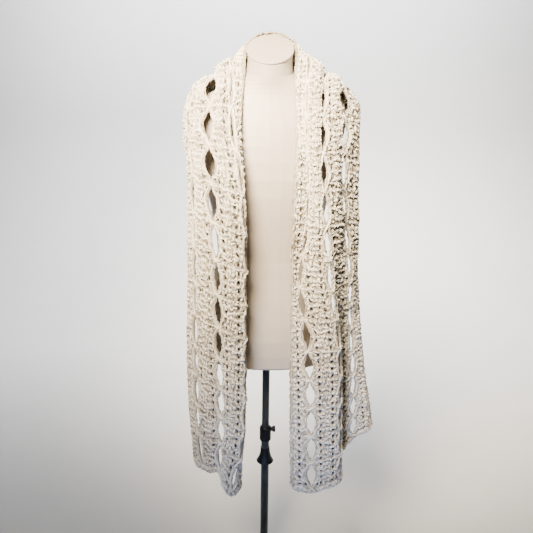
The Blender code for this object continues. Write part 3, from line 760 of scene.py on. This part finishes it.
def buildLayer(finishes):
    # thin closed layer inside the stitches, in a darker painted shade, open at the eyes and with near black
    # painted shade on its cells at the small holes
    rowsPerEye = ground["rowsPerEye"]
    rows = [0.0, ground["endRow"]]
    for low, high in zip(knotPlaces, knotPlaces[1:]):
        rows += [low + (high - low) * k / rowsPerEye for k in range(rowsPerEye)]
    rows += [knotPlaces[-1], scarfLength - ground["endRow"], scarfLength]
    grid = np.array([layerPlaces(row) for row in rows])
    rowCount, lineCount = grid.shape
    along = np.repeat(rows, lineCount)
    across = grid.reshape(-1)
    outer = clothAt(along, across, np.full(len(along), ground["halfWall"]))
    inner = clothAt(along, across, np.full(len(along), -ground["halfWall"]))
    cells = {}
    for i in range(rowCount - 1):
        middleRow = (rows[i] + rows[i + 1]) / 2
        phase = float(eyePhase(np.array([middleRow]))[1][0])
        opened = abs(phase - 0.5) < scarf["eyeLengthShare"] / 2 and 2 <= i <= rowCount - 4
        for j in range(lineCount - 1):
            middle = (grid[i, j] + grid[i, j + 1] + grid[i + 1, j] + grid[i + 1, j + 1]) / 4
            rims = [abs(middle - c) - float(eyeHalf(middleRow, k)) for k, c in enumerate(columnPlaces)]
            if opened and min(rims) < ground["eyeCut"]:
                continue
            # cells behind a small hole take the near black painted shade
            gap = np.hypot(holePlaces[:, 0] - middleRow, holePlaces[:, 1] - middle).min()
            cells[(i, j)] = int(gap < ground["holeShade"])

    def number(face, i, j):
        return (face * rowCount + i) * lineCount + j

    faces, shades = [], []
    for i, j in sorted(cells):
        corners = ((i, j), (i, j + 1), (i + 1, j + 1), (i + 1, j))
        faces.append([number(0, *corner) for corner in reversed(corners)])
        faces.append([number(1, *corner) for corner in corners])
        shades += [cells[(i, j)]] * 2
        neighbours = (((i - 1, j), 0, 1), ((i, j + 1), 1, 2), ((i + 1, j), 2, 3), ((i, j - 1), 3, 0))
        for neighbour, a, b in neighbours:
            if neighbour not in cells:
                faces.append([number(0, *corners[a]), number(0, *corners[b]),
                              number(1, *corners[b]), number(1, *corners[a])])
                shades.append(0)
    mesh = bpy.data.meshes.new("scarfLayer")
    mesh.from_pydata(np.concatenate([outer, inner]).tolist(), [], faces)
    for finish in finishes:
        mesh.materials.append(finish)
    mesh.polygons.foreach_set("material_index", shades)
    mesh.shade_smooth()
    mesh.update()
    print("scene: scarf layer", len(faces), "faces")
    return placeObject("scarfLayer", mesh)


# finishes
cottonFinish = {
    "light": (0.82, 0.77, 0.66),
    "pale": (0.90, 0.86, 0.77),
    "shade": (0.70, 0.63, 0.52),
    # painted shade: the layer seen between the strands is a darker tan
    "layer": (0.36, 0.31, 0.25),
    # painted shade: near black on the layer's cells behind the small holes
    "deep": (0.024, 0.020, 0.016),
    # painted crevice shade: strands go from dark tan at the lowest lift to full colour at the highest
    "paintedCreviceShade": ((0.05, (0.33, 0.295, 0.25)), (0.4, (0.68, 0.645, 0.59)), (0.8, (1, 1, 1))),
}
shellLook = {
    "tones": ((0.3, (0.43, 0.37, 0.31)), (0.7, (0.48, 0.42, 0.355))),
    "specks": ((0.35, (0.93, 0.92, 0.91)), (0.6, (1, 1, 1))),
    "roughness": (0.42, 0.56),
}
poleLook = {
    "tones": ((0.3, (0.016, 0.020, 0.023)), (0.75, (0.034, 0.040, 0.044))),
    "roughness": (0.30, 0.50),
    "shine": 0.35,
}
plasticLook = {
    "tones": ((0.3, (0.003, 0.003, 0.003)), (0.8, (0.008, 0.008, 0.009))),
    "roughness": 0.5,
    "shine": 0.25,
    "grain": 1300,
}


def makeYarnFinish():
    material, tree, shader = newNodes("ivoryCottonYarn")
    place = objectPlace(tree)
    slub = rampNode(tree, noiseNode(tree, place, 55, 4), (
        (0.30, cottonFinish["shade"]), (0.5, cottonFinish["light"]), (0.75, cottonFinish["pale"]),
    ))
    fibre = noiseNode(tree, place, 900, 3, 0.7)
    fleck = rampNode(tree, fibre, ((0.35, (0.80, 0.78, 0.74)), (0.65, (1, 1, 1))))
    # painted crevice shade: strands that lie low in the cloth are coloured darker
    height = addNode(tree, "ShaderNodeAttribute", attribute_name="paintedShadeHeight")
    depth = rampNode(tree, height.outputs["Fac"], cottonFinish["paintedCreviceShade"])
    colour = mixNode(tree, 1.0, mixNode(tree, 1.0, slub, fleck, "MULTIPLY"), depth, "MULTIPLY")
    tree.links.new(colour, shader.inputs["Base Color"])
    shader.inputs["Roughness"].default_value = 0.88
    shader.inputs["Sheen Weight"].default_value = 0.25
    shader.inputs["Sheen Roughness"].default_value = 0.5
    tree.links.new(bumpNode(tree, fibre, 0.5, 0.0006), shader.inputs["Normal"])
    return material


def makeLayerFinish(name, shade):
    material, tree, shader = newNodes(name)
    place = objectPlace(tree)
    # mottled around a colour that is painted shade
    darker, lighter = (tuple(factor * v for v in cottonFinish[shade]) for factor in (0.7, 1.25))
    colour = rampNode(tree, noiseNode(tree, place, 320, 4), ((0.3, darker), (0.7, lighter)))
    tree.links.new(colour, shader.inputs["Base Color"])
    shader.inputs["Roughness"].default_value = 0.95
    tree.links.new(bumpNode(tree, noiseNode(tree, place, 700, 3), 0.6, 0.0008), shader.inputs["Normal"])
    return material


def makeShellFinish():
    material, tree, shader = newNodes("warmWhiteShell")
    place = objectPlace(tree)
    cloud = noiseNode(tree, place, 7, 3)
    colour = rampNode(tree, cloud, shellLook["tones"])
    speck = rampNode(tree, noiseNode(tree, place, 420, 2), shellLook["specks"])
    tree.links.new(mixNode(tree, 1.0, colour, speck, "MULTIPLY"), shader.inputs["Base Color"])
    tree.links.new(roughRange(tree, cloud, *shellLook["roughness"]), shader.inputs["Roughness"])
    tree.links.new(bumpNode(tree, noiseNode(tree, place, 260, 4), 0.25, 0.0005), shader.inputs["Normal"])
    return material


def makePoleFinish():
    material, tree, shader = newNodes("slateStovePaint")
    place = objectPlace(tree)
    colour = rampNode(tree, noiseNode(tree, place, 30, 5), poleLook["tones"])
    tree.links.new(colour, shader.inputs["Base Color"])
    shader.inputs["Specular IOR Level"].default_value = poleLook["shine"]
    rough = roughRange(tree, noiseNode(tree, place, 90, 4), *poleLook["roughness"])
    tree.links.new(rough, shader.inputs["Roughness"])
    tree.links.new(bumpNode(tree, noiseNode(tree, place, 700, 2), 0.3, 0.0003), shader.inputs["Normal"])
    return material


def makePlasticFinish():
    material, tree, shader = newNodes("blackGrainedPlastic")
    place = objectPlace(tree)
    colour = rampNode(tree, noiseNode(tree, place, 60, 4), plasticLook["tones"])
    tree.links.new(colour, shader.inputs["Base Color"])
    shader.inputs["Roughness"].default_value = plasticLook["roughness"]
    shader.inputs["Specular IOR Level"].default_value = plasticLook["shine"]
    grain = addNode(tree, "ShaderNodeTexVoronoi")
    grain.inputs["Scale"].default_value = plasticLook["grain"]
    tree.links.new(place, grain.inputs["Vector"])
    tree.links.new(bumpNode(tree, grain.outputs["Distance"], 0.35, 0.0002), shader.inputs["Normal"])
    return material


def paintNode(name, material):
    for slot in nodes[name].material_slots:
        slot.material = material


shellFinish = makeShellFinish()
poleFinish = makePoleFinish()
plasticFinish = makePlasticFinish()
for name in ("torso", "neck_cap"):
    paintNode(name, shellFinish)
for name in ("mast", "outer_tube", "base"):
    paintNode(name, poleFinish)
for name in ("clamp_collar", "clamp_screw", "flared_collar"):
    paintNode(name, plasticFinish)
print("scene: finishes of the form and its stand")

# the scarf's pieces
yarnFinish = makeYarnFinish()
yarnGroup, yarnSockets = yarnTree()
firstCut, secondCut = (float(sectionLengths[k]) for k in scarf["stretchEnds"])
stretches = (("Left", 0.0, firstCut), ("Neck", firstCut, secondCut), ("Right", secondCut, scarfLength))


def inStretch(paths, low, high):
    return [path for path in paths if low <= path[:, 0].mean() < high]


def cutPaths(paths):
    # long strands cut where the scarf's stretches meet
    pieces = []
    for path in paths:
        for _, low, high in stretches:
            inside = (path[:, 0] >= low - 0.004) & (path[:, 0] < high)
            if inside.sum() > 1:
                pieces.append(path[inside])
    return pieces


fronts = groundStitches(1)
backs = groundStitches(-1)
ridges = rowRidges()
strands = cutPaths(eyeStrands()) + knotStars()
borders = cutPaths(edgeCords()) + hemRolls()
yarnPieces = []
for label, low, high in stretches:
    for kind, paths, opensHoles in (
        ("Stitches", fronts, True), ("Backs", backs, True), ("Ridges", ridges, True),
        ("Strands", strands, False), ("Borders", borders, False),
    ):
        yarnPieces.append(layYarn("scarf" + label + kind, inStretch(paths, low, high), opensHoles))
layer = buildLayer((
    # painted shade between the strands: a darker tan
    makeLayerFinish("paintedShadeCottonGround", "layer"),
    # painted deep shade behind the small holes: near black
    makeLayerFinish("paintedHoleShade", "deep"),
))
for piece in [layer] + yarnPieces:
    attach(piece, "form")
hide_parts("scarf_left_front", "scarf_behind_neck", "scarf_right_front")
print("scene: scarf laid over the form")

# room, light and camera
studio = {
    "floorSize": 9.0,
    "wallStart": 1.6,
    "wallCurve": 1.2,            # radius of the curve from floor to wall
    "curveSteps": 12,
    "wallTop": 4.5,
    "floorTones": ((0.3, (0.82, 0.82, 0.82)), (0.7, (0.85, 0.85, 0.85))),
    "sky": (0.95, 0.97, 1.0),
    "skyStrength": 0.13,
}
# place, aim, width and height, power, colour and spread in degrees
softboxes = {
    "keyLight": ((-0.52, -1.25, 2.45), (-0.03, -0.1, 1.58), (0.9, 0.5), 39, (1.0, 0.84, 0.61), 50),
    "coolLight": ((-0.6, -2.1, 0.8), (0.11, -0.15, 0.62), (0.45, 0.45), 0.95, (0.20, 0.42, 1.0), 19),
    "backLight": ((0.9, 2.1, 2.3), (0, 0.05, 1.1), (1.2, 1.2), 9, (1.0, 0.98, 0.95), 180),
    "wallLight": ((0, 1.6, 3.4), (0, 3.2, 0.6), (3.0, 0.8), 130, (1.0, 1.0, 1.0), 100),
}


def buildFloor():
    # floor that curves up into a pale wall
    half, start, curve = studio["floorSize"] / 2, studio["wallStart"], studio["wallCurve"]
    profile = [(-half, 0.0), (start, 0.0)]
    for k in range(1, studio["curveSteps"] + 1):
        angle = k / studio["curveSteps"] * math.pi / 2
        profile.append((start + curve * math.sin(angle), curve * (1 - math.cos(angle))))
    profile.append((start + curve, studio["wallTop"]))
    points = [(x, y, z) for y, z in profile for x in (-half, half)]
    faces = [(2 * k, 2 * k + 1, 2 * k + 3, 2 * k + 2) for k in range(len(profile) - 1)]
    mesh = bpy.data.meshes.new("studioFloor")
    mesh.from_pydata(points, [], faces)
    mesh.shade_smooth()
    material, tree, shader = newNodes("paleFloor")
    colour = rampNode(tree, noiseNode(tree, objectPlace(tree), 3, 3), studio["floorTones"])
    tree.links.new(colour, shader.inputs["Base Color"])
    shader.inputs["Roughness"].default_value = 0.85
    mesh.materials.append(material)
    placeObject("studioFloor", mesh)


def addSoftbox(name, place, aim, size, power, colour, spread):
    light = bpy.data.lights.new(name, "AREA")
    light.shape = "RECTANGLE"
    light.size, light.size_y = size
    light.energy = power
    light.color = colour
    light.spread = math.radians(spread)
    box = placeObject(name, light)
    box.visible_camera = False
    turn = (Vector(aim) - Vector(place)).to_track_quat("-Z", "Y")
    box.matrix_world = Matrix.Translation(place) @ turn.to_matrix().to_4x4()


buildFloor()
for name, values in softboxes.items():
    addSoftbox(name, *values)
world = bpy.data.worlds.new("studioSky")
world.use_nodes = True
world.node_tree.nodes["Background"].inputs["Color"].default_value = (*studio["sky"], 1)
world.node_tree.nodes["Background"].inputs["Strength"].default_value = studio["skyStrength"]
bpy.context.scene.world = world

view = {
    "place": (0.0, -1.558, 1.58),
    "down": 18.5,                # degrees below level
    "rollSine": 0.0131,
    "imageWidth": 533,
    "focalPixels": 620,
    "shiftPixels": -0.965,
    "sensor": 36,
}
lens = bpy.data.cameras.new("photoCamera")
lens.sensor_width = view["sensor"]
lens.lens = view["sensor"] * (view["focalPixels"] / view["imageWidth"])
lens.shift_x = view["shiftPixels"] / view["imageWidth"]
camera = placeObject("photoCamera", lens)
camera.matrix_world = (Matrix.Translation(view["place"])
                       @ Matrix.Rotation(math.pi / 2 - math.radians(view["down"]), 4, "X")
                       @ Matrix.Rotation(math.asin(view["rollSine"]), 4, "Z"))
bpy.context.scene.camera = camera
print("scene: room, light and camera")
